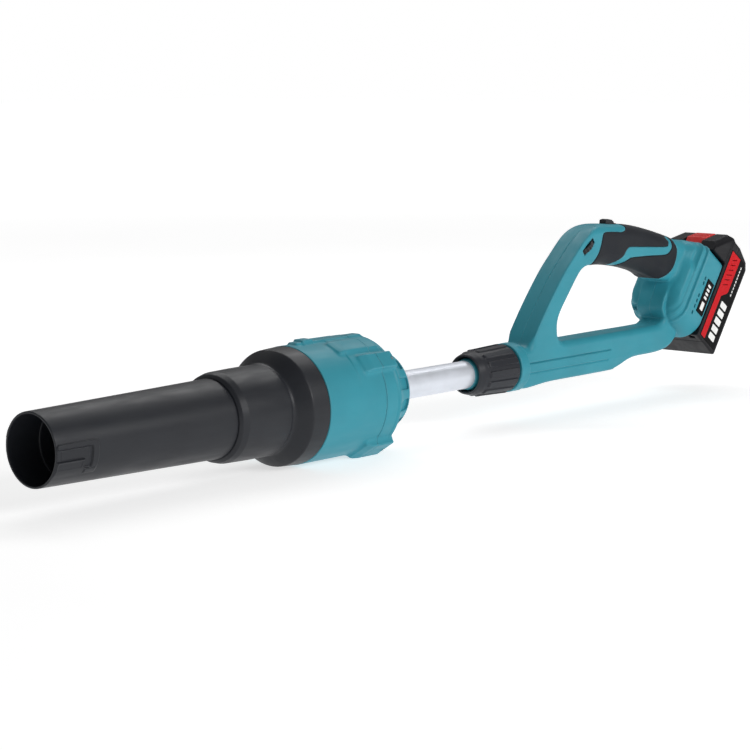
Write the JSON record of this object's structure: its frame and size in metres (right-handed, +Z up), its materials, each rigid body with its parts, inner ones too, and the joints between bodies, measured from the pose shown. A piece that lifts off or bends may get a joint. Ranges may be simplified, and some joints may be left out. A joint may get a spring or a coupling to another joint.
{
  "type": "leaf blower",
  "caption": "Cordless pole leaf blower: black nozzle and bell duct, round fan head, telescopic aluminium pole, D-handle and slide-on battery.",
  "frame": {"origin": "centre of the nozzle mouth, on the axis of the duct and the pole", "axes": "+X back along the pole from the mouth to the battery, +Z up, operator's right is +Y"},
  "size_m": [1.0277, 0.111, 0.1987],
  "materials": {
    "black_plastic": "satin moulded nylon with a fine grain",
    "teal_plastic": "satin moulded ABS with a fine spark-eroded grain",
    "soft_grip": "matt soft overmould",
    "pole_aluminium": "satin anodised, drawn along its length",
    "steel": "bright zinc plate",
    "copper": "enamelled copper wire",
    "brass": "stamped and plated",
    "board_green": "solder mask",
    "component_black": "moulded epoxy",
    "lead_red": "wire insulation",
    "badge_black": "gloss plate",
    "cell_wrap": "shrink-wrapped cell",
    "label_print": "printed film, red and black with no lettering",
    "red_plastic": "satin moulded"
  },
  "bodies": {
    "handle": {"handle_left": "teal_plastic", "handle_right": "teal_plastic", "grip_left": "soft_grip", "grip_right": "soft_grip", "clamp_collet": "teal_plastic", "handle_screws": "steel", "switch_bezel": "black_plastic", "dial_pot": "steel", "control_board": "board_green", "board_parts": "component_black", "handle_lead": "lead_red", "badge_plate": "badge_black", "battery_rails": "black_plastic", "tool_terminals": "brass"},
    "nut": {"twist_nut": "black_plastic"},
    "head": {"pole_tube": "pole_aluminium", "pole_plug": "black_plastic", "motor_lead": "lead_red", "rear_cover": "teal_plastic", "cover_screws": "steel", "fan_housing": "teal_plastic", "bell_duct": "black_plastic", "motor_shroud": "black_plastic", "nose_cone": "black_plastic", "motor_can": "steel", "motor_windings": "copper", "motor_bearings": "steel"},
    "nozzle": {"nozzle_tube": "black_plastic"},
    "rotor": {"motor_shaft": "steel", "rotor_core": "steel", "impeller": "black_plastic", "impeller_nut": "steel"},
    "rocker": {"rocker_button": "black_plastic"},
    "dial": {"speed_dial": "black_plastic"},
    "battery": {"battery_case": "black_plastic", "battery_cover": "black_plastic", "battery_cells": "cell_wrap", "battery_board": "board_green", "battery_label_left": "label_print", "battery_label_right": "label_print"},
    "release": {"release_button": "red_plastic"}
  },
  "joints": [
    {"name": "pole_slide", "type": "slide", "parent": "handle", "child": "head", "axis": [1, 0, 0], "range_m": [-0.095, 0.055]},
    {"name": "clamp_nut_turn", "type": "hinge", "parent": "handle", "child": "nut", "pos_m": [0.59, 0, 0], "axis": [1, 0, 0], "range_deg": [0, 120]},
    {"name": "nozzle_twist", "type": "hinge", "parent": "head", "child": "nozzle", "pos_m": [0.21, 0, 0], "axis": [1, 0, 0], "range_deg": [0, 25]},
    {"name": "fan_spin", "type": "hinge", "parent": "head", "child": "rotor", "pos_m": [0.31, 0, 0], "axis": [1, 0, 0], "continuous": true},
    {"name": "rocker_press", "type": "hinge", "parent": "handle", "child": "rocker", "pos_m": [0.801, 0, 0.134], "axis": [0, -1, 0], "range_deg": [0, 12]},
    {"name": "dial_turn", "type": "hinge", "parent": "handle", "child": "dial", "pos_m": [0.745, -0.0042, 0.1165], "axis": [-0.5764, 0, 0.8171], "range_deg": [0, 260]},
    {"name": "battery_slide", "type": "slide", "parent": "handle", "child": "battery", "axis": [0.5821, 0, 0.8131], "range_m": [0, 0.082]},
    {"name": "release_press", "type": "slide", "parent": "battery", "child": "release", "axis": [0.8131, 0, -0.5821], "range_m": [0, 0.0035], "stiffness_N_per_m": 900, "springref_m": -0.002}
  ]
}
